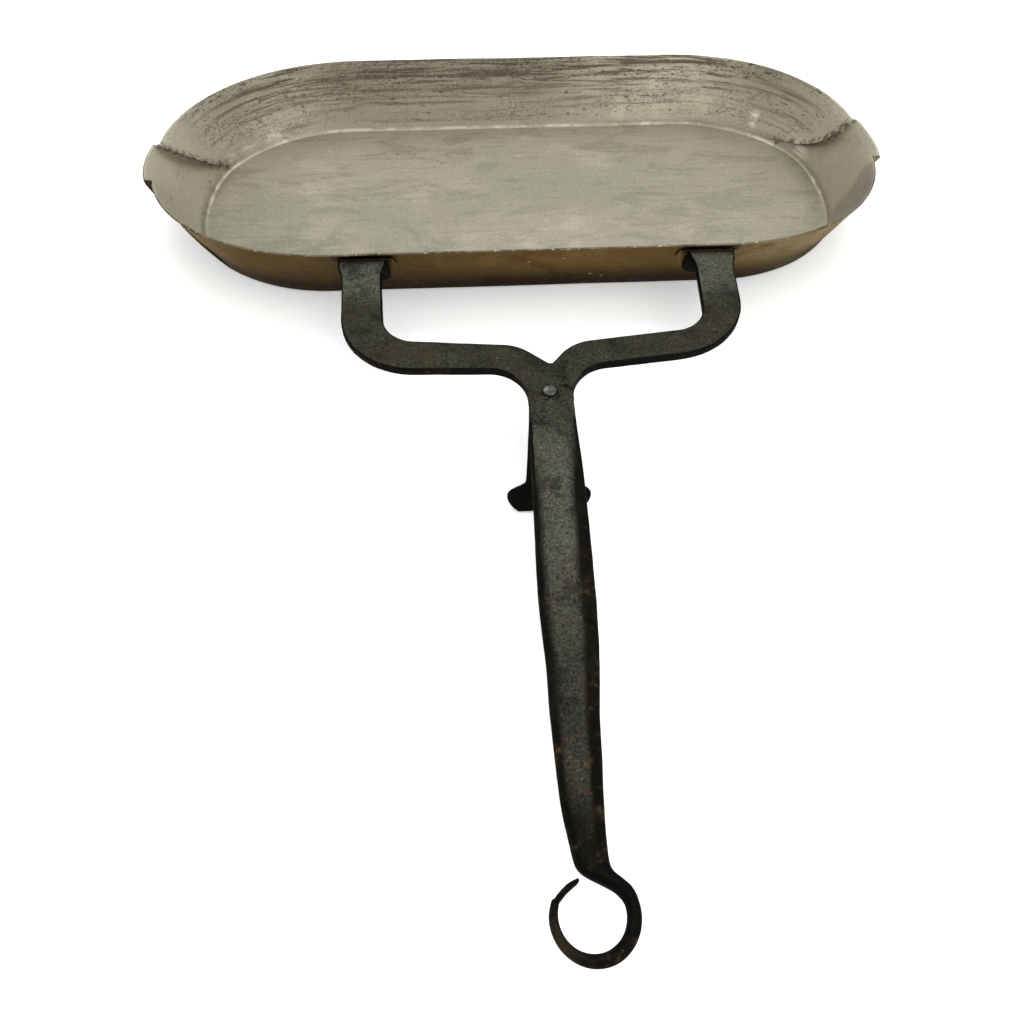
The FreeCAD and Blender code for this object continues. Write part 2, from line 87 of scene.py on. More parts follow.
# The ground lies just under the pan, so that the two never share a plane.
GROUND_REACH = 6.0
GROUND_DROP = 0.0004


def make_camera():
    """A short lens held above the handle, looking down into the pan."""
    data = bpy.data.cameras.new("camera")
    data.sensor_width = 36.0
    data.lens = LENS
    data.shift_x = SHIFT_X
    data.shift_y = SHIFT_Y
    camera = bpy.data.objects.new("camera", data)
    bpy.context.scene.collection.objects.link(camera)
    ahead = Vector((math.sin(YAW) * math.cos(PITCH), math.cos(YAW) * math.cos(PITCH), -math.sin(PITCH)))
    turn = ahead.to_track_quat("-Z", "Y").to_matrix().to_4x4() @ Matrix.Rotation(ROLL, 4, "Z")
    camera.matrix_world = Matrix.Translation(CAMERA_AT) @ turn
    bpy.context.scene.camera = camera


def make_light(name, place, aim, size, watts):
    data = bpy.data.lights.new(name, "AREA")
    data.shape = "RECTANGLE"
    data.size = size[0]
    data.size_y = size[1]
    data.energy = watts
    light = bpy.data.objects.new(name, data)
    bpy.context.scene.collection.objects.link(light)
    light.location = place
    light.rotation_mode = "QUATERNION"
    light.rotation_quaternion = (Vector(aim) - Vector(place)).to_track_quat("-Z", "Y")


def make_surroundings():
    """A pale floor, an even sky and two broad lamps."""
    bpy.context.scene.view_settings.view_transform = "Standard"
    world = bpy.data.worlds.new("sky")
    bpy.context.scene.world = world
    world.use_nodes = True
    sky = world.node_tree.nodes["Background"]
    sky.inputs["Color"].default_value = (1.0, 0.99, 0.97, 1.0)
    sky.inputs["Strength"].default_value = 1.05
    make_light("key", (0.1, 0.9, 1.5), (0, -0.05, 0), (1.8, 1.2), 13)
    make_light("fill", (0.9, -1.1, 1.3), (0, -0.1, 0), (1.6, 1.6), 8)
    mesh = bpy.data.meshes.new("floor")
    corners = [(x * GROUND_REACH, y * GROUND_REACH, 0) for x, y in ((-1, -1), (1, -1), (1, 1), (-1, 1))]
    mesh.from_pydata(corners, [], [(0, 1, 2, 3)])
    floor = bpy.data.objects.new("floor", mesh)
    bpy.context.scene.collection.objects.link(floor)
    floor.location.z = -GROUND_DROP
    pale = bpy.data.materials.new("pale_floor")
    pale.use_nodes = True
    paint = pale.node_tree.nodes["Principled BSDF"]
    paint.inputs["Base Color"].default_value = (0.93, 0.93, 0.93, 1)
    paint.inputs["Roughness"].default_value = 0.9
    paint.inputs["Emission Color"].default_value = (1, 1, 1, 1)
    paint.inputs["Emission Strength"].default_value = 0.3
    mesh.materials.append(pale)


# --- materials ---


class Mask:
    """A value over the surface, kept within 0 to 1: * is both, | is either, + adds and ~ is elsewhere."""

    def __init__(self, paint, socket):
        self.paint = paint
        self.socket = socket

    def __mul__(self, other):
        return self.paint.math("MULTIPLY", self, other)

    def __or__(self, other):
        return self.paint.math("MAXIMUM", self, other)

    def __add__(self, other):
        return self.paint.math("ADD", self, other)

    def __invert__(self):
        return self.paint.math("SUBTRACT", 1.0, self)

    def __abs__(self):
        return self.paint.math("ABSOLUTE", self)


class Paint:
    """A node material, built up one texture at a time."""

    def __init__(self, name, color, metallic, roughness):
        self.material = bpy.data.materials.new(name)
        self.material.use_nodes = True
        self.tree = self.material.node_tree
        self.shader = self.tree.nodes["Principled BSDF"]
        self.shader.inputs["Metallic"].default_value = metallic
        self.place = self.node("ShaderNodeTexCoord").outputs["Object"]
        self.run = self.node("ShaderNodeUVMap", uv_map="sheet").outputs["UV"]
        self.color = self.value(color)
        self.rough = self.value(roughness)
        self.normal = None

    def node(self, kind, **settings):
        made = self.tree.nodes.new(kind)
        for key, setting in settings.items():
            setattr(made, key, setting)
        return made

    def value(self, number):
        """A constant as a socket that other nodes can mix with."""
        if isinstance(number, tuple):
            made = self.node("ShaderNodeRGB").outputs[0]
            made.default_value = (*number, 1)
        else:
            made = self.node("ShaderNodeValue").outputs[0]
            made.default_value = number
        return made

    def link(self, source, target):
        self.tree.links.new(source.socket if isinstance(source, Mask) else source, target)

    def stretch(self, source, scale, turn=(0, 0, 0)):
        made = self.node("ShaderNodeMapping")
        made.inputs["Scale"].default_value = scale
        made.inputs["Rotation"].default_value = turn
        self.link(source, made.inputs["Vector"])
        return made.outputs["Vector"]

    def noise(self, scale, detail=4.0, roughness=0.55, distortion=0.0, over=None):
        made = self.node("ShaderNodeTexNoise")
        made.inputs["Scale"].default_value = scale
        made.inputs["Detail"].default_value = detail
        made.inputs["Roughness"].default_value = roughness
        made.inputs["Distortion"].default_value = distortion
        self.link(over or self.place, made.inputs["Vector"])
        return Mask(self, made.outputs["Fac"])

    def cells(self, scale, feature="F1", over=None):
        made = self.node("ShaderNodeTexVoronoi", feature=feature)
        made.inputs["Scale"].default_value = scale
        self.link(over or self.place, made.inputs["Vector"])
        return Mask(self, made.outputs["Distance"])

    def distance(self, spot):
        """How far the surface is from a point given in millimetres."""
        made = self.node("ShaderNodeVectorMath", operation="DISTANCE")
        made.inputs[1].default_value = spot / METRE
        self.link(self.place, made.inputs[0])
        return Mask(self, made.outputs["Value"])

    def bend(self, vector, scale, reach):
        """The same coordinates, pushed about by noise so that straight patterns wander."""
        cloud = self.node("ShaderNodeTexNoise")
        cloud.inputs["Scale"].default_value = scale
        cloud.inputs["Detail"].default_value = 4.0
        self.link(vector, cloud.inputs["Vector"])
        made = self.node("ShaderNodeVectorMath", operation="MULTIPLY_ADD")
        self.link(cloud.outputs["Color"], made.inputs[0])
        made.inputs[1].default_value = (reach, reach, reach)
        self.link(vector, made.inputs[2])
        return made.outputs["Vector"]

    def band(self, source, low, high, start=0.0, end=1.0):
        """The source, spread from low..high to start..end and cut off outside."""
        made = self.node("ShaderNodeMapRange", interpolation_type="SMOOTHSTEP")
        for socket, number in zip(("From Min", "From Max", "To Min", "To Max"), (low, high, start, end)):
            made.inputs[socket].default_value = number
        self.link(source, made.inputs["Value"])
        return Mask(self, made.outputs["Result"])

    def axis(self, name):
        made = self.node("ShaderNodeSeparateXYZ")
        self.link(self.place, made.inputs[0])
        return Mask(self, made.outputs[name])

    def facing(self, direction):
        """How squarely the surface faces a direction, from -1 to 1."""
        made = self.node("ShaderNodeVectorMath", operation="DOT_PRODUCT")
        self.link(self.node("ShaderNodeNewGeometry").outputs["Normal"], made.inputs[0])
        made.inputs[1].default_value = direction
        return Mask(self, made.outputs["Value"])

    def math(self, operation, *terms):
        made = self.node("ShaderNodeMath", operation=operation, use_clamp=True)
        for socket, term in zip(made.inputs, terms):
            if isinstance(term, Mask):
                self.link(term, socket)
            else:
                socket.default_value = term
        return Mask(self, made.outputs[0])

    def tint(self, mask, color, strength=1.0):
        """Lay a colour over what is there, where the mask is up."""
        made = self.node("ShaderNodeMix", data_type="RGBA")
        self.link(mask * strength, made.inputs["Factor"])
        self.link(self.color, made.inputs["A"])
        made.inputs["B"].default_value = (*color, 1)
        self.color = made.outputs["Result"]

    def roughen(self, mask, roughness, strength=1.0):
        made = self.node("ShaderNodeMix", data_type="FLOAT")
        self.link(mask * strength, made.inputs["Factor"])
        self.link(self.rough, made.inputs["A"])
        made.inputs["B"].default_value = roughness
        self.rough = made.outputs["Result"]

    def bump(self, height, distance, strength=1.0):
        made = self.node("ShaderNodeBump")
        made.inputs["Strength"].default_value = strength
        made.inputs["Distance"].default_value = distance
        self.link(height, made.inputs["Height"])
        if self.normal:
            self.link(self.normal, made.inputs["Normal"])
        self.normal = made.outputs["Normal"]

    def done(self):
        self.link(self.color, self.shader.inputs["Base Color"])
        self.link(self.rough, self.shader.inputs["Roughness"])
        if self.normal:
            self.link(self.normal, self.shader.inputs["Normal"])
        return self.material


# Painted highlights on the tin, matched to the photograph: the middle in millimetres and the reach in metres.
PAINTED_HIGHLIGHTS = (
    ((-178.0, 76.0, 7.0), 0.017),
    ((-193.0, 62.0, 6.0), 0.016),
    ((-206.0, 50.0, 5.0), 0.012),
    ((213.0, 42.0, 5.0), 0.014),
    ((188.9, 85.2, 15.0), 0.006),
    ((189.4, 83.2, 9.0), 0.005),
)


def fold_spots():
    """Points in millimetres along the back crease of each lip."""
    spots = []
    for end in (RIGHT, LEFT):
        for step in range(1, 11):
            rise = step / 10
            x, y = end.point("back", 0.0, rise)
            spots.append(Vector((x, y, SHEET + rise * (HEIGHT - SHEET))))
    return spots


def tin_paint():
    """Old tinning: pale grey with a warm cast, wiped along the pan, darkened in bands high on the walls."""
    paint = Paint("tin_lining", (0.235, 0.218, 0.162), 0.5, 0.45)
    tint, band = paint.tint, paint.band
    paint.shader.inputs["Specular IOR Level"].default_value = 0.3
    height = paint.axis("Z")
    far = paint.axis("Y")
    across = paint.axis("X")
    on_wall = band(height, 0.003, 0.008)
    on_floor = ~on_wall
    rise = band(height, 0.004, 0.042)
    high = band(height, 0.012, 0.040)
    back = band(far, 0.035, 0.10)
    # painted light makes the floor paler towards the far wall; the floor is duller near the front, and the lips
    # are paler again
    tint(band(far, -0.02, 0.10) * on_floor, (0.335, 0.300, 0.232), 0.75)
    tint(band(far, -0.03, -0.10) * on_floor, (0.175, 0.165, 0.120), 0.5)
    right_end = band(across, 0.10, 0.20) * on_wall
    left_end = band(across, -0.10, -0.20) * on_wall
    tint(right_end + left_end, (0.43, 0.385, 0.30), 0.85)
    # broad clouds: cooler and greener in the middle of the floor, warmer at the ends
    clouds = paint.noise(9.0, 3.0)
    tint(band(clouds, 0.42, 0.62), (0.300, 0.282, 0.220), 0.4)
    tint(band(clouds, 0.55, 0.36) * on_floor, (0.220, 0.222, 0.168), 0.5)
    smudge = paint.noise(1.6, 6.0, 0.66, 0.9, over=paint.stretch(paint.place, (12.0, 30.0, 20.0)))
    tint(band(smudge, 0.50, 0.62) * on_floor, (0.158, 0.150, 0.108), 0.5)
    # long wiping marks along the floor
    lengthways = paint.stretch(paint.place, (3.0, 90.0, 10.0), (0, 0, -0.04))
    wiped = paint.noise(4.0, 7.0, 0.7, 0.5, over=lengthways)
    tint(band(wiped, 0.54, 0.70) * on_floor, (0.130, 0.122, 0.086), 0.5)
    tint(band(wiped, 0.45, 0.3) * on_floor, (0.36, 0.34, 0.28), 0.4)
    # the far wall is brown-grey, darkest under the rim, and its right half is lighter low down
    tint(back * on_wall, (0.315, 0.278, 0.208), 0.62)
    tint(back * high, (0.150, 0.132, 0.090), 0.42)
    right = band(across, 0.02, 0.12)
    low_wall = on_wall * band(height, 0.038, 0.012)
    before_lip = right * band(across, 0.20, 0.15)
    tint(before_lip * on_wall, (0.54, 0.48, 0.37), 0.55)
    # painted highlight: pale slanted streaks low on the right half of the far wall
    slanted = paint.stretch(paint.bend(paint.place, 60.0, 0.012), (120.0, 6.0, 30.0), (0, 0.18, 0))
    fans = paint.noise(1.0, 5.0, 0.6, over=slanted)
    fan_zone = right * band(across, 0.19, 0.14) * low_wall
    fan_zone = fan_zone * band(paint.noise(38.0, 3.0), 0.40, 0.58)
    tint(fan_zone * band(fans, 0.42, 0.62), (0.62, 0.60, 0.46), 0.6)
    # the lips are plainer than the walls, and the sheet in front of the right lip is darker
    ends = band(abs(across), 0.185, 0.212)
    off_lips = ~(ends * band(far, 0.055, 0.030))
    front_right = band(across, 0.19, 0.215) * band(far, -0.028, -0.040)
    tint(front_right * on_wall, (0.21, 0.19, 0.145), 0.7)
    # painted light: the foot of the wall, just above the turn, is lightened against the shade in the corner
    tint(band(height, 0.009, 0.003) * on_wall, (0.50, 0.45, 0.35), 0.4)
    # bands of dark tarnish that follow the walls
    bands = paint.noise(3.0, 8.0, 0.74, 0.6, over=paint.stretch(paint.run, (4.0, 105.0, 1.0)))
    patch = band(paint.noise(8.0, 3.0), 0.33, 0.52)
    dark = band(bands, 0.46, 0.56) * back * rise * patch
    tint(dark, (0.062, 0.053, 0.032), 0.9)
    light_dark = band(bands, 0.53, 0.64) * on_wall * off_lips
    tint(light_dark, (0.115, 0.100, 0.068), 0.6)
    # the tarnish breaks up into little worm-like marks below the bands
    worms = paint.noise(1.0, 2.0, 0.5, 1.6, over=paint.stretch(paint.run, (150.0, 260.0, 1.0)))
    line = band(worms, 0.470, 0.497) * band(worms, 0.530, 0.503)
    wormy = paint.noise(1.0, 4.0, 0.6, over=paint.stretch(paint.run, (16.0, 34.0, 1.0)))
    wormy = band(wormy, 0.46, 0.58) * off_lips
    tint(line * wormy * on_wall, (0.055, 0.047, 0.030), 0.85)
    # broken dark ticks, crowded under the rim
    ticks = paint.noise(1.0, 3.0, 0.6, 0.4, over=paint.stretch(paint.run, (190.0, 620.0, 1.0)))
    crowd = paint.noise(1.0, 3.0, over=paint.stretch(paint.run, (14.0, 60.0, 1.0)))
    crowd = band(crowd, 0.42, 0.58) * (off_lips | 0.25)
    tick_mask = band(ticks, 0.54, 0.62) * crowd * high
    tint(tick_mask, (0.040, 0.034, 0.021), 0.85)
    lows = band(ticks, 0.58, 0.66) * crowd * on_wall
    tint(lows, (0.075, 0.066, 0.043), 0.7)
    # painted shade in the creases behind the lips
    crease_shade = 0.0
    for spot in fold_spots():
        near = band(paint.distance(spot), 0.0055, 0.0018)
        crease_shade = near | crease_shade
    stitches = band(paint.noise(330.0, 4.0, 0.7), 0.40, 0.56)
    tint(crease_shade * stitches, (0.045, 0.038, 0.024), 0.85)
    # fine scratches, grain and pin spots
    scratch = paint.noise(4.0, 2.0, over=paint.stretch(paint.place, (11.0, 420.0, 30.0), (0, 0, 0.06)))
    tint(band(scratch, 0.64, 0.72) * on_floor, (0.10, 0.092, 0.065), 0.55)
    bright = paint.noise(2.0, 2.0, over=paint.stretch(paint.place, (40.0, 520.0, 30.0), (0, 0, 0.5)))
    tint(band(bright, 0.74, 0.78) * on_floor, (0.75, 0.70, 0.58), 0.8)
    grain = paint.noise(520.0, 4.0, 0.72)
    tint(band(grain, 0.54, 0.68), (0.125, 0.114, 0.080), 0.5)
    tint(band(grain, 0.46, 0.32), (0.38, 0.36, 0.29), 0.4)
    spots = paint.cells(95.0)
    rare = band(paint.noise(28.0, 2.0), 0.58, 0.66)
    tint(band(spots, 0.16, 0.08) * rare, (0.08, 0.07, 0.05), 0.8)
    # painted highlight: the turn between floor and wall is painted bright in places and a little yellow
    edge = band(height, 0.0014, 0.0020) * band(height, 0.0036, 0.0024)
    glints = band(paint.noise(34.0, 5.0, 0.75), 0.46, 0.60, 0.12, 1.0)
    tint(edge * glints, (0.58, 0.52, 0.39), 0.75)
    # painted highlights: places where the tin is painted almost white, low in the corners of the far wall
    shine = paint.noise(1.0, 6.0, 0.75, 0.3, over=paint.stretch(paint.run, (60.0, 320.0, 1.0)))
    shine = band(shine, 0.36, 0.64)
    for spot, reach in PAINTED_HIGHLIGHTS:
        near = band(paint.distance(Vector(spot)), reach, reach * 0.2) * on_wall
        tint(near * shine, (0.92, 0.86, 0.74), 0.8)
    paint.roughen(band(clouds, 0.4, 0.6), 0.38)
    paint.roughen(dark, 0.6)
    paint.bump(wiped, 0.0002, 0.22)
    paint.bump(grain, 0.00012, 0.35)
    paint.bump(paint.noise(150.0, 4.0), 0.0003, 0.35)
    paint.bump(bands * on_wall, 0.0003, 0.35)
    paint.bump(line * on_wall, -0.0002, 0.4)
    return paint.done()


def brass_paint():
    """Brass gone brown and olive, with painted shade that makes it nearly black near the ground, and greyer round
    the right end.
    """
    paint = Paint("brass_outside", (0.070, 0.044, 0.016), 0.75, 0.46)
    tint, band = paint.tint, paint.band
    paint.shader.inputs["Specular Tint"].default_value = (0.6, 0.5, 0.35, 1)
    height = paint.axis("Z")
    across = paint.axis("X")
    clouds = paint.noise(22.0, 5.0, 0.6)
    tint(band(across, -0.12, 0.05), (0.118, 0.068, 0.018), 0.75)
    tint(band(across, 0.06, 0.20), (0.225, 0.182, 0.108), 0.85)
    tint(band(clouds, 0.45, 0.62), (0.150, 0.098, 0.030), 0.6)
    stains = paint.noise(30.0, 6.0, 0.68, 1.2)
    tint(band(stains, 0.50, 0.64), (0.075, 0.034, 0.008), 0.65)
    # painted shade: darker towards the ground, darkest along the foot of the wall on the left
    tint(band(height, 0.032, 0.010), (0.022, 0.013, 0.004), 0.88)
    shade_near_ground = band(height, 0.018, 0.004) * band(across, 0.22, 0.08, 0.35, 1.0)
    tint(shade_near_ground, (0.004, 0.003, 0.0018), 0.97)
    # painted shade on the outside below the left lip, towards the front
    front = band(paint.axis("Y"), -0.015, -0.035)
    tint(band(across, -0.215, -0.238) * front, (0.012, 0.010, 0.007), 0.9)
    # painted shadow in the gap between the rim and each palm
    under_rim = band(height, 0.0375, 0.0385) * band(paint.axis("Y"), -0.110, -0.115)
    for node in ("left_pad", "right_pad"):
        low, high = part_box(node)
        from_left = band(across, low[0] - 0.001, low[0] + 0.001)
        from_right = band(across, high[0] + 0.001, high[0] - 0.001)
        tint(from_left * from_right * under_rim, (0.006, 0.005, 0.004), 0.9)
    grain = paint.noise(480.0, 4.0, 0.7)
    tint(band(grain, 0.56, 0.70), (0.19, 0.135, 0.055), 0.35)
    tint(band(grain, 0.44, 0.32), (0.02, 0.012, 0.004), 0.5)
    specks = paint.cells(120.0)
    rare = band(paint.noise(26.0, 2.0), 0.60, 0.68)
    tint(band(specks, 0.18, 0.08) * rare, (0.42, 0.34, 0.2), 0.7)
    wiped = paint.noise(3.0, 4.0, over=paint.stretch(paint.run, (8.0, 120.0, 1.0)))
    tint(band(wiped, 0.55, 0.75), (0.04, 0.026, 0.011), 0.5)
    paint.roughen(band(stains, 0.45, 0.65), 0.58)
    paint.bump(paint.noise(120.0, 4.0), 0.0003, 0.3)
    return paint.done()


def rim_paint():
    """The cut edge of the sheet: dark, with broken painted glints of highlight along it."""
    paint = Paint("bare_edge", (0.13, 0.11, 0.07), 0.9, 0.42)
    tint, band = paint.tint, paint.band
    worn = paint.noise(60.0, 5.0)
    tint(band(worn, 0.45, 0.6), (0.045, 0.036, 0.022), 0.8)
    # painted highlight: broken glints along the edge
    glints = paint.noise(300.0, 4.0, 0.7)
    tint(band(glints, 0.55, 0.66), (0.42, 0.38, 0.29), 0.7)
    paint.bump(worn, 0.0002, 0.3)
    return paint.done()


def iron_paint():
    """Forged iron under soot and oil: black, with a painted olive-grey highlight on top, and rust in specks."""
    paint = Paint("forged_iron", (0.0060, 0.0058, 0.0050), 0.6, 0.50)
    tint, band = paint.tint, paint.band
    paint.shader.inputs["Specular Tint"].default_value = (0.12, 0.12, 0.10, 1)
    paint.shader.inputs["Specular IOR Level"].default_value = 0.05
    facing = paint.facing((-0.06, 0.0, 0.998))
    neck = band(paint.distance(PIVOT + UP * STRAP), 0.024, 0.018)
    top = band(facing, 0.930, 0.982) | neck * band(facing, 0.3, 0.6)
    along = paint.axis("Y")
    # the upward faces carry a painted highlight, palest on the shank below the neck, where it is rubbed, and on
    # the arms where they near the pan
    held = band(along, -0.235, -0.275) * band(along, -0.425, -0.33)
    near_pan = band(along, -0.175, -0.150)
    sheen_and_rubbing = top * (held | near_pan | 0.45)
    mottle = paint.noise(60.0, 6.0, 0.66)
    grain = paint.noise(820.0, 4.0, 0.75)
    tint(sheen_and_rubbing, (0.067, 0.067, 0.054), 0.95)
    tint(band(grain, 0.52, 0.64) * sheen_and_rubbing, (0.136, 0.132, 0.104), 0.75)
    tint(band(mottle, 0.50, 0.66) * sheen_and_rubbing, (0.078, 0.082, 0.058), 0.6)
    bars = band(along, -0.245, -0.235) * band(along, -0.160, -0.175)
    tint(bars * top, (0.028, 0.026, 0.014), 0.4)
    tint(band(mottle, 0.49, 0.36), (0.012, 0.012, 0.010), 0.65)
    tint(band(grain, 0.48, 0.38), (0.006, 0.006, 0.005), 0.75)
    # rust gathers towards the eye, and the eye itself is black
    zone = band(along, -0.29, -0.40, 0.16, 1.0)
    left_bar = band(paint.axis("X"), -0.025, -0.05) * bars
    zone = zone | left_bar * 0.6
    black = band(along, -0.415, -0.465)
    tint(black, (0.0045, 0.0043, 0.0038), 0.93)
    flecks = paint.noise(260.0, 4.0, 0.75)
    where = paint.noise(48.0, 4.0, 0.62, 0.8)
    rust = band(flecks, 0.53, 0.66) * band(where, 0.44, 0.60) * zone
    tint(rust, (0.12, 0.064, 0.024), 0.7)
    tint(band(where, 0.54, 0.7) * zone, (0.040, 0.022, 0.010), 0.5)
    tint(band(where, 0.48, 0.62) * black, (0.036, 0.027, 0.017), 0.6)
    dust = band(paint.cells(300.0), 0.20, 0.08) * band(mottle, 0.46, 0.56)
    tint(dust * sheen_and_rubbing, (0.26, 0.23, 0.17), 0.5)
    # cracks of the forge weld round the rivet, and a ring of painted shade round the rivet's head
    reach = paint.distance(PIVOT + UP * STRAP + Vector((4.0, 4.0, 0.0)))
    near = band(reach, 0.019, 0.008)
    veins = paint.cells(105.0, "DISTANCE_TO_EDGE", over=paint.bend(paint.place, 140.0, 0.010))
    gaps = band(paint.noise(170.0, 3.0), 0.46, 0.56)
    cracks = band(veins, 0.05, 0.015) * near * gaps
    tint(cracks, (0.003, 0.003, 0.0025), 0.8)
    ring = band(paint.distance(PIVOT + UP * STRAP), 0.0047, 0.0040)
    tint(ring, (0.003, 0.003, 0.0025), 0.9)
    paint.roughen(band(grain, 0.4, 0.6), 0.6, 0.7)
    paint.roughen(rust, 0.85)
    paint.bump(grain, 0.0004, 0.5)
    paint.bump(mottle, 0.0010, 0.45)
    paint.bump(cracks, -0.0006, 0.5)
    return paint.done()


def rivet_paint():
    """A hammered rivet head, brighter than the iron round it."""
    paint = Paint("rivet_metal", (0.070, 0.068, 0.062), 0.8, 0.5)
    tint, band = paint.tint, paint.band
    facing = paint.facing((0.0, 0.0, 1.0))
    marks = paint.noise(420.0, 4.0)
    tint(band(marks, 0.44, 0.60), (0.026, 0.024, 0.021), 0.85)
    # painted highlight: a bluish-white spot on the head's left
    highlight_spot = band(paint.distance(PIVOT + UP * STRAP + Vector((-2.2, 0.8, 0.5))), 0.0022, 0.0008)
    tint(highlight_spot, (0.13, 0.16, 0.16), 0.8)
    # painted shade on the sides of the head
    tint(band(facing, 0.86, 0.5), (0.006, 0.006, 0.005), 0.95)
    paint.bump(marks, 0.0004, 0.5)
    return paint.done()


# --- making a piece ---


def make_piece(name, points, faces, materials, body, nodes, runs=None):
    """A smooth mesh from points in millimetres, riding on a body in place of its CAD nodes."""
    mesh = bpy.data.meshes.new(name)
    mesh.from_pydata([Vector(p) / METRE for p in points], [], faces)
    for material in materials:
        mesh.materials.append(material)
    mesh.polygons.foreach_set("use_smooth", [True] * len(mesh.polygons))
    if runs:
        layer = mesh.uv_layers.new(name="sheet")
        for loop in mesh.loops:
            layer.data[loop.index].uv = runs[loop.vertex_index]
    mesh.validate()
    piece = bpy.data.objects.new(name, mesh)
    bpy.context.scene.collection.objects.link(piece)
    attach(piece, body)
    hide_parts(*nodes)
    return piece


# --- the pan ---

PAN_LOW, PAN_HIGH = [Vector(corner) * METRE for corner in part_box("pan")]
SHEET = 1.2
HEIGHT = PAN_HIGH.z
HALF_WIDTH = PAN_HIGH.y
FLOOR_CENTRE = 124.0
FLOOR_RADIUS = 101.0
RIM_CENTRE = 113.0
WALL_TILT = math.atan((HALF_WIDTH - FLOOR_RADIUS) / HEIGHT)
RIM_INSET = SHEET / math.cos(WALL_TILT)
FLOOR_INSET = RIM_INSET - SHEET * math.tan(WALL_TILT)
TURN = 1.5
CORNER_DIP = 1.15
CORNER_SPREAD = 40.0


class End:
    """One end of the pan, with the lip that is pinched out of it."""

    def __init__(self, side, square, reach, back, front, back_out, front_out, bow, fold):
        self.side = side
        self.square = square
        self.reach = reach
        self.creases = {"back": back, "front": front}
        self.back_out = back_out
        self.front_out = front_out
        self.bow = bow
        self.fold = fold

    def outline(self, angle, rise):
        """The inside of the wall at this angle round the end and this part of its height."""
        turn = math.radians(angle)
        cos = max(0.0, math.cos(turn))
        sin = math.sin(turn)
        power = 2 / self.square
        floor_x = FLOOR_CENTRE + (FLOOR_RADIUS - FLOOR_INSET) * cos - 5.0 * cos**12
        floor_y = (FLOOR_RADIUS - FLOOR_INSET) * sin
        rim_x = RIM_CENTRE + (self.reach - RIM_CENTRE - RIM_INSET) * cos**power
        rim_y = (HALF_WIDTH - RIM_INSET) * math.copysign(abs(sin) ** power, sin)
        return lerp(floor_x, rim_x, rise), lerp(floor_y, rim_y, rise)

    def crease(self, which, rise):
        """The angle that a crease has reached at this part of the wall's height."""
        rim_y, floor_y, bend = self.creases[which]
        wanted = rim_y + (floor_y - rim_y) * (1 - rise) ** bend
        low, high = -90.0, 90.0
        for _ in range(24):
            middle = (low + high) / 2
            if self.outline(middle, rise)[1] < wanted:
                low = middle
            else:
                high = middle
        return (low + high) / 2

    def point(self, stretch, part, rise):
        """A point of the wall's inside. The end runs front, lip, back, and part goes from 0 to 1 in each."""
        radius = lerp(FLOOR_RADIUS, HALF_WIDTH, rise)
        gap = math.degrees(0.9 / radius)
        front = self.crease("front", rise)
        back = self.crease("back", rise)
        if stretch == "front":
            angle = lerp(-90.0, front - gap, 1 - (1 - part) ** 1.5)
            near = math.radians(front - angle) * radius
        elif stretch == "back":
            angle = lerp(back + gap, 90.0, part**1.5)
            near = math.radians(angle - back) * radius
        else:
            eased = (1 - math.cos(math.pi * part)) / 2
            angle = lerp(front + gap, back - gap, eased)
            near = 0.0
        x, y = self.outline(angle, rise)
        pinch = 4.6 * (4 * rise * (1 - rise)) ** 0.8 + 1.0 * rise**2
        pinch *= self.fold if stretch == "front" else 1.0
        if stretch == "lip":
            bow = self.bow * math.sin(math.pi * part)
            out = (lerp(self.front_out, self.back_out, part) + bow) * rise ** lerp(3.0, 1.3, part)
            out += 0.8 * (4 * rise * (1 - rise))
        else:
            out = -pinch * math.exp(-((near / 15.0) ** 1.3)) * smooth(0.0, 0.25, rise)
        turn = math.radians(angle)
        return (x + math.cos(turn) * out) * self.side, y + math.sin(turn) * out


RIGHT = End(1, 2.25, PAN_HIGH.x - 4.7, (18, 76, 2.5), (-29, -58, 1.0), 1.4, 5.0, 0.6, 0.35)
LEFT = End(-1, 2.12, -PAN_LOW.x - 4.6, (5, 51, 1.35), (-38, -78, 0.75), 2.8, 3.6, 1.4, 0.3)
SIDE_STEPS = 110
ARC_STEPS = 58
LIP_STEPS = 34


def pan_columns():
    """Once round the pan, counter-clockwise: each column turns a height into a point of the inside."""
    columns = []

    def add_end(end, stretch, count, backwards):
        for step in range(count):
            part = step / (count - 1)
            part = 1 - part if backwards else part
            columns.append(lambda rise, part=part: end.point(stretch, part, rise))

    def add_side(sign):
        for step in range(1, SIDE_STEPS):
            part = lerp(sign, -sign, step / SIDE_STEPS)

            def point(rise, part=part):
                x = part * lerp(FLOOR_CENTRE, RIM_CENTRE, rise)
                y = sign * lerp(FLOOR_RADIUS - FLOOR_INSET, HALF_WIDTH - RIM_INSET, rise)
                return x, y

            columns.append(point)

    for stretch, count in (("front", ARC_STEPS), ("lip", LIP_STEPS), ("back", ARC_STEPS)):
        add_end(RIGHT, stretch, count, False)
    add_side(1)
    for stretch, count in (("back", ARC_STEPS), ("lip", LIP_STEPS), ("front", ARC_STEPS)):
        add_end(LEFT, stretch, count, True)
    add_side(-1)
    return columns


FLOOR_PARTS = [0.0, 0.08, 0.16, 0.24, 0.32, 0.4, 0.48, 0.56, 0.64, 0.71, 0.78, 0.84, 0.89, 0.93, 0.96, 0.985]
TURN_STEPS = 7
WALL_STEPS = 38


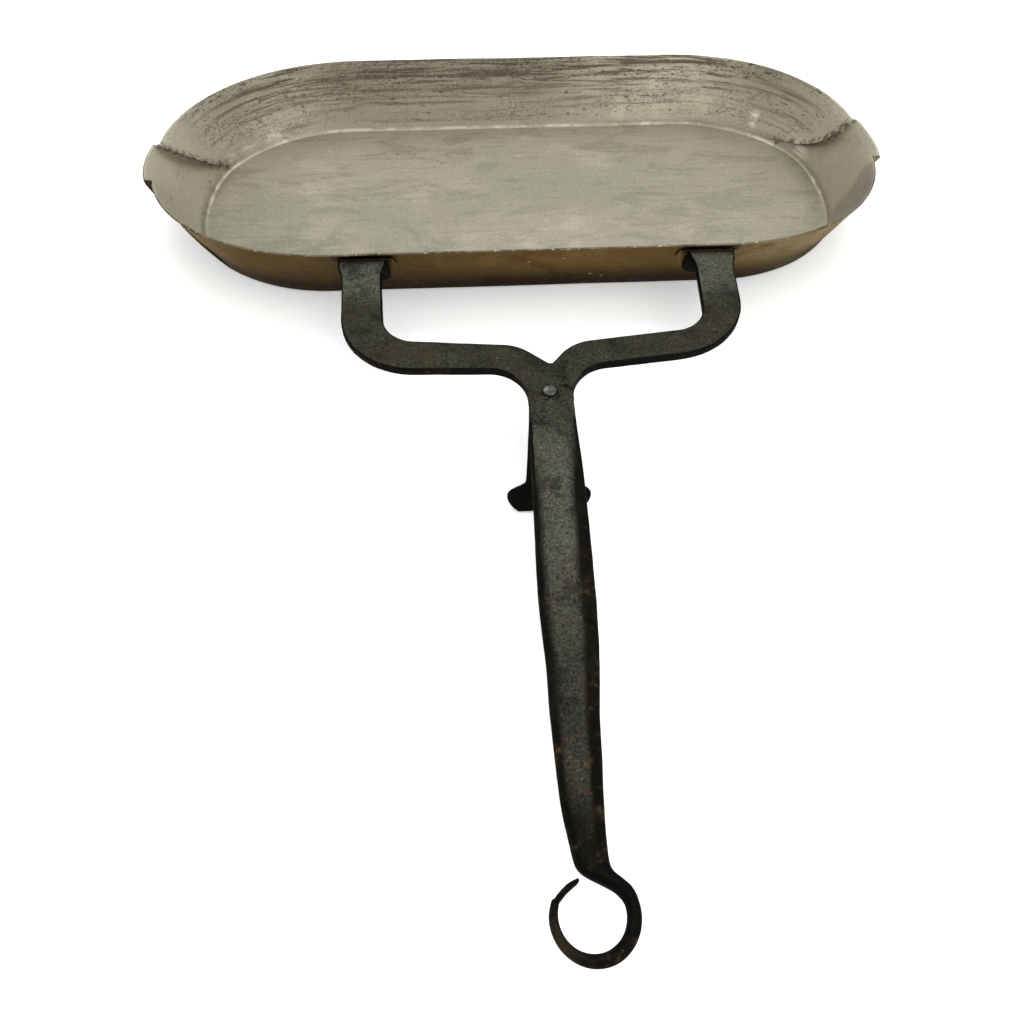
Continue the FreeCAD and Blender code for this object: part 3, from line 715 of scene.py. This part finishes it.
def column_points(column):
    """From the middle of the floor out to its edge, round the turn and up the wall."""
    corner = Vector((*column(0.0), SHEET))
    middle = Vector((min(FLOOR_CENTRE, max(-FLOOR_CENTRE, corner.x)), 0, SHEET))
    out = (corner - middle).normalized()
    points = [middle.lerp(corner - out * TURN, part) for part in FLOOR_PARTS]
    wall_height = HEIGHT - SHEET
    first = TURN / wall_height

    def wall(rise):
        return Vector((*column(rise), SHEET + rise * wall_height))

    for step in range(TURN_STEPS):
        part = step / TURN_STEPS
        near = (corner - out * TURN).lerp(corner, part)
        far = corner.lerp(wall(first), part)
        points.append(near.lerp(far, part))
    for step in range(WALL_STEPS + 1):
        points.append(wall(lerp(first, 1.0, step / WALL_STEPS)))
    return points


def hammered(point):
    """The same point of the sheet after the hammer: long soft waves and small flats."""
    rise = (point.z - SHEET) / (HEIGHT - SHEET)
    on_wall = smooth(0.06, 0.3, rise)
    moved = point.copy()
    out = Vector((point.x * 0.25, point.y, 0)).normalized()
    dent = wobble(point, 46, 3.1) * 0.7 + wobble(point, 13, 8.2) * 0.16 + wobble(point, 7, 5.5) * 0.05
    moved -= out * (dent + 0.45) * on_wall * smooth(1.02, 0.9, rise)
    lift = (wobble(point, 55, 1.3) + 1) * 0.22 + (wobble(point, 17, 6.1) + 1) * 0.05
    moved.z += lift * (1 - on_wall)
    wave = 0.22 + 0.22 * wobble(point, 60, 2.2) + 0.10 * wobble(point, 6, 4.4)
    moved.z -= wave * smooth(0.7, 1.0, rise)
    for end in (RIGHT, LEFT):
        corner = Vector(end.point("lip", 0.0, 1.0))
        near = math.exp(-(point.xy - corner).length_squared / CORNER_SPREAD)
        moved.z -= CORNER_DIP * near * smooth(0.8, 1.0, rise)
    return moved


def make_pan(tin, brass, edge):
    columns = [column_points(column) for column in pan_columns()]
    rows = len(columns[0])
    points = []
    runs = []
    around = 0.0
    for index, column in enumerate(columns):
        if index:
            around += (column[-1] - columns[index - 1][-1]).length
        for point in column:
            points.append(hammered(point))
            runs.append((around / METRE, 1.14 * point.z / METRE))
    faces = []
    for index in range(len(columns)):
        here = index * rows
        there = (index + 1) % len(columns) * rows
        for row in range(rows - 1):
            faces.append((here + row, here + row + 1, there + row + 1, there + row))
    pan = make_piece("pan_sheet", points, faces, [tin, brass, edge], BODY, ["pan"], runs)
    weld = pan.modifiers.new("close_middle", "WELD")
    weld.merge_threshold = 0.00005
    thick = pan.modifiers.new("sheet", "SOLIDIFY")
    thick.thickness = SHEET / METRE
    thick.offset = -1.0
    thick.material_offset = 1
    thick.material_offset_rim = 2


# --- bars and straps ---

PIVOT = Vector(JOINT["pos_m"]) * METRE
UP = Vector(JOINT["axis"]).normalized()
ACROSS = Vector((1, 0, 0))
ALONG = UP.cross(ACROSS)
STRAP = 5.0
FORK_SEED = 11.0


def on_fork(x, y, z=STRAP):
    """A point in the fork's plane: y runs from the leg's rivet to the pan, z from the straps' underside."""
    return PIVOT + ACROSS * x + ALONG * y + UP * z


def rounded(corners, counts):
    """Points along a path with rounded corners. A corner is (x, y) or (x, y, radius), and counts says how
    many points each straight and each bend gets, in order."""
    spots = [Vector(corner[:2]) for corner in corners]
    starts = [spots[0]]
    pieces = []
    for index in range(1, len(corners) - 1):
        before = (spots[index - 1] - spots[index]).normalized()
        after = (spots[index + 1] - spots[index]).normalized()
        half = before.angle(after) / 2
        reach = corners[index][2] / math.tan(half)
        middle = spots[index] + (before + after).normalized() * (corners[index][2] / math.sin(half))
        first = spots[index] + before * reach
        last = spots[index] + after * reach
        pieces.append((starts[-1], first, None))
        pieces.append((first, last, middle))
        starts.append(last)
    pieces.append((starts[-1], spots[-1], None))
    made = []
    for (first, last, middle), count in zip(pieces, counts):
        for step in range(count):
            part = step / count
            if middle is None:
                made.append(first.lerp(last, part))
                continue
            sweep = (first - middle).angle_signed(last - middle)
            arm = first - middle
            turn = -sweep * part
            cos, sin = math.cos(turn), math.sin(turn)
            made.append(middle + Vector((arm.x * cos - arm.y * sin, arm.x * sin + arm.y * cos)))
    made.append(spots[-1])
    return made


def section(half, thick, crown, soft):
    """A bar's cross-section, counter-clockwise from the lower right, with z = 0 at the top of its sides."""
    soft = min(soft, half * 0.8, thick * 0.45)
    corners = (
        (half - soft, soft - thick, -90, 2),
        (half - soft, -soft, 0, 10),
        (soft - half, -soft, 90, 2),
        (soft - half, soft - thick, 180, 8),
    )
    ring = []
    for index, (x, z, start, flats) in enumerate(corners):
        for step in range(5):
            turn = math.radians(start + step * 22.5)
            ring.append((x + soft * math.cos(turn), z + soft * math.sin(turn)))
        next_x, next_z, next_start, _ = corners[(index + 1) % 4]
        turn = math.radians(next_start)
        last = ring[-1]
        goal = (next_x + soft * math.cos(turn), next_z + soft * math.sin(turn))
        for step in range(1, flats + 1):
            part = lerp(0.025, 0.975, (step - 1) / (flats - 1))
            ring.append((lerp(last[0], goal[0], part), lerp(last[1], goal[1], part)))
    return [(x, z + crown * (1 - (x / half) ** 2) * smooth(-thick, 0, z)) for x, z in ring]


def forge(stations, roughness, seed):
    """Sweep a bar through its stations: the middle of the top, the direction across, up, half width,
    thickness, crown and edge radius. The hammer leaves it uneven by about the given roughness."""
    points = []
    faces = []
    count = 0
    for middle, across, up, half, thick, crown, soft in stations:
        ring = section(half, thick, crown, soft)
        count = len(ring)
        for x, z in ring:
            point = middle + across * x + up * z
            away = (across * (x / half) + up * (z / thick + 0.5) * 1.6).normalized()
            dent = wobble(point, 17, seed) * 0.6 + wobble(point, 7, seed + 3) * 0.3
            dent += wobble(point, 3, seed + 7) * 0.12
            points.append(point + away * dent * roughness * min(1.0, half / 5))
    for index in range(len(stations) - 1):
        for step in range(count):
            here = index * count + step
            beside = index * count + (step + 1) % count
            faces.append((here, here + count, beside + count, beside))
    faces.append(tuple(range(count)))
    faces.append(tuple(range(len(points) - 1, len(points) - count - 1, -1)))
    return points, faces


def between(first, last, up, thick, crown, soft):
    """A station from the two edges of a strap."""
    wide = last - first
    return ((first + last) / 2, wide.normalized(), up, wide.length / 2, thick, crown, soft)


def spline(rows, steps):
    """Rows of numbers along a smooth curve through the given rows."""
    made = []
    for index in range(len(rows) - 1):
        first, last = rows[index], rows[index + 1]
        before = rows[max(0, index - 1)]
        after = rows[min(len(rows) - 1, index + 2)]
        for step in range(steps):
            f = step / steps
            row = []
            for a, b, c, d in zip(before, first, last, after):
                square = 2 * a - 5 * b + 4 * c - d
                cube = 3 * b - a - 3 * c + d
                row.append(0.5 * (2 * b + (c - a) * f + square * f**2 + cube * f**3))
            made.append(tuple(row))
    made.append(tuple(rows[-1]))
    return made


# --- the arms ---

PAD = 1.5
PALM_THICK = 4.0
PALM_LENGTH = 20.0
FOLD_PULL = 5.0
WALL_IN = Vector((0, math.cos(WALL_TILT), math.sin(WALL_TILT)))
WALL_DOWN = Vector((0, math.sin(WALL_TILT), -math.cos(WALL_TILT)))


def on_wall(x, down, out):
    """A point by the pan's near wall, this far down from the rim and this far out from the sheet."""
    return Vector((x, -HALF_WIDTH, HEIGHT)) + WALL_DOWN * down - WALL_IN * out


def fold_corner():
    """Where the strap's top meets the palm's back: y in the fork's plane, and the drop from the rim."""
    top = on_fork(0, 0)
    start = on_wall(0, 0, PAD)
    down = (top - start).dot(UP) / WALL_DOWN.dot(UP)
    return (start + WALL_DOWN * down - top).dot(ALONG), down


NECK_END = -12.0
# Where the arms are welded to the head, from the crotch down to the neck's edges.
SEAMS = {
    -1: ((1.4, 20.4), (-1.0, 15.0), (-3.5, 9.0), (-5.4, 4.0), (-7.3, -1.0), (-8.8, -4.0), (-10.7, -7.0)),
    1: ((2.4, 20.4), (6.2, 15.0), (6.0, 9.0), (7.9, 4.0), (8.7, -1.0), (11.3, -3.6), (11.7, -5.0)),
}


def seam_points(side):
    """The seam as a close row of points that wanders a little."""
    rows = spline(SEAMS[side], 6)
    return [Vector((x + 0.35 * wobble((x, y, side), 2.6, 9.0) * smooth(20.4, 17.0, y), y)) for x, y in rows]


def make_arm(name, side, outer, inner, iron):
    """Up the palm, over the fold, along the strap, round the bend and into the neck."""
    fold_y, fold_down = fold_corner()
    counts = (16, 26, 20, 18, 8)
    outer_edge = rounded(outer, counts)
    inner_edge = rounded(inner, counts)
    palm_outer = outer[0][0] + side * 3.3
    palm_inner = inner[0][0] - side * 4.2
    shift = PIVOT.x
    stations = []
    left_first = side < 0

    def station(first, last, up, thick, soft=1.1, crown=0.35):
        ends = (first, last) if left_first else (last, first)
        stations.append(between(*ends, up, thick, crown, soft))

    for step in range(9):
        down = fold_down + lerp(PALM_LENGTH, 4.6, step / 8)
        pull = 5.0 * max(0.0, 1 - step / 2.5) ** 2
        first = on_wall(palm_outer + shift - side * pull, down, PAD)
        last = on_wall(palm_inner + shift + side * pull, down, PAD)
        station(first, last, WALL_IN, PALM_THICK)
    for step in range(7):
        part = step / 6
        start = on_wall(0, fold_down + 4.0, PAD)
        corner = on_wall(0, fold_down, PAD)
        goal = on_fork(0, fold_y - 4.5)
        goal.x = 0
        # a tight bend: the corner pulls harder on the strap's top than its two neighbours
        pulls = ((1 - part) ** 2, 2 * FOLD_PULL * part * (1 - part), part**2)
        near = (start * pulls[0] + corner * pulls[1] + goal * pulls[2]) / sum(pulls)
        up = WALL_IN.lerp(UP, part).normalized()
        wide = lerp(0.0, 0.35, part)
        first = near + ACROSS * (lerp(palm_outer, outer[0][0], wide) + shift)
        last = near + ACROSS * (lerp(palm_inner, inner[0][0], wide) + shift)
        station(first, last, up, lerp(PALM_THICK, STRAP, part))
    for index, (first, last) in enumerate(zip(outer_edge, inner_edge)):
        flare = 2.3 * side * math.exp(-index / 1.8)
        crown = 0.35 * smooth(len(outer_edge), len(outer_edge) - 24, index)
        station(on_fork(first.x + flare, first.y), on_fork(last.x - flare, last.y), UP, STRAP, 1.1, crown)
    foot = outer_edge[-1]
    for spot in seam_points(side)[1:]:
        station(on_fork(foot.x, foot.y), on_fork(spot.x, spot.y), UP, STRAP, 0.2, 0.0)
    points, faces = forge(stations, 0.32, FORK_SEED)
    return make_piece(f"{name}_arm_strap", points, faces, [iron], BODY, [f"{name}_arm"])


def arm_edges():
    """Both arms' outer and inner edges in the fork's plane, from the fold to the neck."""
    start = fold_corner()[0] - 5.5
    left = (
        [(-114.4, start), (-109.1, 20.3, 43.0), (-12.4, 16.6, 21.0), (-11.2, -9.0)],
        [(-92.0, start), (-87.3, 42.1, 19.5), (-15.0, 34.9, 26.0), SEAMS[-1][0]],
    )
    right = (
        [(115.4, start), (111.1, 28.2, 47.0), (13.6, 17.0, 22.0), (11.9, -7.0)],
        [(93.8, start), (89.3, 44.5, 20.0), (14.5, 36.0, 26.0), SEAMS[1][0]],
    )
    return left, right


# --- the shank and its eye ---

EYE_AT = Vector(EYE["pos_m"]) * METRE - PIVOT
HOLE = Vector((EYE_AT.dot(ACROSS), EYE_AT.dot(ALONG)))
HOLE_RADIUS = EYE["dims"]["r_mm"]
RING = HOLE + Vector((0.9, -0.3))
RING_RADIUS = HOLE_RADIUS + 4.25
# The bar below the head: y, middle, half width, thickness of the sides, crown.
SHANK = (
    (NECK_END, 0.25, 11.7, 4.8, 0.6),
    (-22.0, 0.2, 11.9, 4.4, 1.6),
    (-50.0, 0.0, 12.6, 4.0, 2.9),
    (-77.0, -0.3, 12.75, 3.8, 3.5),
    (-109.0, -0.8, 12.8, 3.8, 3.5),
    (-124.0, -1.0, 12.5, 3.8, 3.5),
    (-140.0, -1.1, 11.75, 3.8, 3.4),
    (-158.0, -1.6, 10.75, 3.8, 3.2),
    (-172.0, -2.25, 9.95, 3.9, 3.0),
    (-190.0, -2.5, 9.15, 3.9, 2.8),
    (-207.0, -2.6, 8.05, 4.0, 2.5),
    (-218.0, -2.1, 7.1, 4.1, 2.2),
)
# The stem and the tip of the eye: the left edge's x and y, then the right edge's.
STEM = (
    (-8.0, -224.7, 5.1, -224.7),
    (-7.2, -227.9, 5.5, -228.3),
    (-5.5, -230.3, 6.7, -230.6),
    (-2.2, -232.6, 8.8, -232.4),
    (2.9, -235.4, 10.9, -234.2),
    (6.2, -237.5, 12.5, -236.0),
    (8.2, -239.7, 13.7, -238.7),
)
TIP = (
    (-12.9, -238.7, -16.0, -238.7),
    (-11.0, -236.8, -13.7, -236.3),
    (-9.0, -235.3, -11.1, -234.1),
    (-7.2, -234.0, -8.7, -232.9),
    (-6.3, -233.0, -7.0, -232.3),
)


def round_spot(centre, radius, degrees):
    turn = math.radians(degrees)
    return centre + Vector((math.cos(turn), math.sin(turn))) * radius


def make_shank(iron):
    """The head between the arms, the crowned bar, then the stem and the ring that it draws out into."""
    stations = []
    left = seam_points(-1)
    right = seam_points(1)
    left.append(Vector((-11.45, NECK_END)))
    right.append(Vector((11.95, NECK_END)))

    def seam_at(row, y):
        for first, last in zip(row, row[1:]):
            if last.y <= y <= first.y:
                return first.lerp(last, (first.y - y) / (first.y - last.y)).x
        return row[-1].x

    steps = 40
    for step in range(steps):
        y = lerp(left[0].y - 0.2, NECK_END + 0.6, step / (steps - 1))
        crown = 0.5 * smooth(0.0, NECK_END, y)
        soft = lerp(0.03, 1.2, smooth(-6.0, NECK_END, y))
        ends = [on_fork(seam_at(row, y), y, STRAP + 0.03 - 0.3 * crown) for row in (left, right)]
        lap = 0.5 * smooth(-8.5, -5.0, y)
        ends = [ends[0] - ACROSS * lap, ends[1] + ACROSS * lap]
        stations.append(between(*ends, UP, STRAP - 0.2, crown, soft))
    for y, middle, half, sides, crown in spline(SHANK, 10):
        stations.append((on_fork(middle, y, sides), ACROSS, UP, half, sides, crown, 1.3))
    rows = spline(STEM, 5)
    turned_steps = 40
    inner_end = math.degrees(math.atan2(*(Vector(TIP[0][:2]) - HOLE).yx)) - 360
    for step in range(turned_steps):
        degrees = lerp(13, inner_end + 6, step / (turned_steps - 1))
        inside = round_spot(HOLE, HOLE_RADIUS, degrees)
        thinner = 0.5 * smooth(turned_steps * 0.85, turned_steps, step)
        outside = round_spot(RING, RING_RADIUS - thinner, degrees + lerp(-4, 0, min(1.0, step / 6)))
        rows.append((*inside, *outside))
    rows += spline(TIP, 5)
    total = len(rows)
    for index, (left_x, left_y, right_x, right_y) in enumerate(rows):
        part = index / total
        thick = lerp(4.6, 4.0, part)
        crown = lerp(1.9, 0.9, part)
        lift = lerp(4.1, 4.3, part)
        first = on_fork(left_x, left_y, lift)
        last = on_fork(right_x, right_y, lift)
        soft = lerp(1.3, 1.9, part)
        stations.append(between(first, last, UP, thick, crown, soft))
    points, faces = forge(stations, 0.30, FORK_SEED)
    return make_piece("shank_and_eye", points, faces, [iron], BODY, ["handle_shank"])


# --- leg, rivets and pads ---

LEG_LOW, LEG_HIGH = [Vector(corner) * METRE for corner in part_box("leg")]
LEG_GAP = 0.3
LEG_THICK = 4.0


def make_leg(iron):
    """A strap under the neck, bent down to a splayed foot that stands on the ground."""
    ground = Vector((PIVOT.x, LEG_LOW.y, LEG_LOW.z)) - PIVOT
    reach = -ground.dot(ALONG)
    fall = -ground.dot(UP)
    lean = (LEG_LOW.x + LEG_HIGH.x) / 2 - PIVOT.x
    foot = (LEG_HIGH.x - LEG_LOW.x) / 2

    def down(part):
        return lerp(-26.0, -reach, part), lerp(-LEG_GAP, -fall, part)

    # Each row: y, z of the upper face, how far the middle leans, half width.
    rows = [
        (11.6, -LEG_GAP, 0.0, 4.0),
        (9.0, -LEG_GAP, 0.0, 7.6),
        (3.0, -LEG_GAP, 0.0, 10.4),
        (-14.0, -LEG_GAP, lean * 0.35, 10.7),
        (-24.0, -LEG_GAP - 0.6, lean * 0.5, 11.0),
        (*down(0.25), lean * 0.65, 11.4),
        (*down(0.56), lean * 0.8, 12.0),
        (*down(0.62), lean * 0.88, 13.4),
        (*down(0.70), lean, foot - 1.6),
        (*down(0.79), lean, foot),
        (*down(0.90), lean, foot - 1.8),
        (*down(0.985), lean, foot - 5.2),
    ]
    stations = []
    curve = spline(rows, 7)
    for index, (y, z, middle, half) in enumerate(curve):
        after = curve[min(index + 1, len(curve) - 1)]
        before = curve[max(index - 1, 0)]
        heading = Vector((0, after[0] - before[0], after[1] - before[1])).normalized()
        up = ALONG * heading.z - UP * heading.y
        thin = lerp(LEG_THICK, 3.0, smooth(-30, -reach, y))
        stations.append((on_fork(middle, y, z), ACROSS, up, min(half, foot), thin - 0.2, 0.0, 1.0))
    points, faces = forge(stations, 0.22, 33.0)
    floor = LEG_LOW.z + 0.02
    points = [Vector((p.x, p.y, max(p.z, floor))) for p in points]
    return make_piece("leg_strap", points, faces, [iron], LEG_BODY, ["leg"])


def turned(profile, centre, out, seed, roughness):
    """A round piece from (radius, height) pairs about an axis, hammered out of true."""
    side = out.orthogonal().normalized()
    other = out.cross(side)
    steps = 28
    points = []
    faces = []
    for radius, height in profile:
        for step in range(steps):
            turn = 2 * math.pi * step / steps
            spot = centre + out * height + (side * math.cos(turn) + other * math.sin(turn)) * radius
            dent = wobble(spot, 3.2, seed)
            spot += (spot - centre).normalized() * dent * roughness
            points.append(spot)
    for row in range(len(profile) - 1):
        for step in range(steps):
            here = row * steps + step
            beside = row * steps + (step + 1) % steps
            faces.append((here, beside, beside + steps, here + steps))
    faces.append(tuple(range(steps - 1, -1, -1)))
    faces.append(tuple(range(len(points) - steps, len(points))))
    return points, faces


def dome(radius, rise, base):
    """The profile of a low dome, from its edge to near its top."""
    steps = 6
    made = []
    for step in range(steps):
        turn = math.radians(lerp(0, 84, step / (steps - 1)))
        made.append((radius * math.cos(turn), base + rise * math.sin(turn)))
    return made


def make_leg_rivet(metal):
    bottom = -LEG_GAP * 2 - LEG_THICK
    profile = [(0.6, bottom - 2.2), (3.2, bottom - 1.9), (4.7, bottom - 0.9), (5.0, bottom), (3.0, bottom)]
    profile += [(3.0, STRAP - 0.4), (3.6, STRAP - 0.1), (3.7, STRAP + 0.25), (3.5, STRAP + 0.55)]
    profile += [(3.1, STRAP + 0.70), (2.0, STRAP + 0.76), (0.5, STRAP + 0.78)]
    points, faces = turned(profile, PIVOT, UP, 4.0, 0.22)
    return make_piece("leg_rivet_head", points, faces, [metal], BODY, ["leg_rivet"])


def make_palm_rivet(node, iron):
    low, high = [Vector(corner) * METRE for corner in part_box(node)]
    middle = (low + high) / 2
    down = 15.0
    centre = on_wall(middle.x, down, 0)
    head = PAD + PALM_THICK
    profile = [(0.5, -SHEET - 1.0), (2.4, -SHEET - 0.95), (3.6, -SHEET - 0.3), (3.7, -SHEET + 0.1)]
    profile += [(2.5, -SHEET + 0.2), (2.5, head - 0.2), (4.3, head)]
    profile += dome(4.3, 1.9, head + 0.1)
    points, faces = turned(profile, centre, -WALL_IN, middle.x, 0.15)
    return make_piece(f"{node}_body", points, faces, [iron], BODY, [node])


def make_pad(node, side, brass):
    """A brass doubling plate with rounded lower corners, which shows on the arm's inner side."""
    low, high = [Vector(corner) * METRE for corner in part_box(node)]
    middle = (low.x + high.x) / 2
    outer = middle + side * 14.5
    inner = middle - side * 20.5
    stations = []
    top = 4.2
    length = 16.5
    rows = 15
    for step in range(rows):
        part = step / (rows - 1)
        down = top + length * part
        curl = 7.5 * (1 - math.sqrt(max(0.0, 1 - max(0.0, part * 1.5 - 0.5) ** 2)))
        tuck = 2.6 * (1 - part) ** 3
        ends = [on_wall(outer - side * curl, down, 0.1), on_wall(inner + side * (curl + tuck), down, 0.1)]
        ends.sort(key=lambda spot: spot.x)
        stations.append(between(ends[0] - WALL_IN * 1.3, ends[1] - WALL_IN * 1.3, -WALL_IN, 1.2, 0.1, 0.5))
    points, faces = forge(stations, 0.12, 51.0 + side)
    return make_piece(f"{node}_plate", points, faces, [brass], BODY, [node])


# --- the object ---

make_camera()
make_surroundings()
tin = tin_paint()
brass = brass_paint()
iron = iron_paint()
make_pan(tin, brass, rim_paint())
left_edges, right_edges = arm_edges()
make_arm("left", -1, *left_edges, iron)
make_arm("right", 1, *right_edges, iron)
make_shank(iron)
make_leg(iron)
make_leg_rivet(rivet_paint())
for side_name, side_sign in (("left", -1), ("right", 1)):
    make_pad(f"{side_name}_pad", side_sign, brass)
    for number in (1, 2):
        make_palm_rivet(f"{side_name}_rivet_{number}", iron)
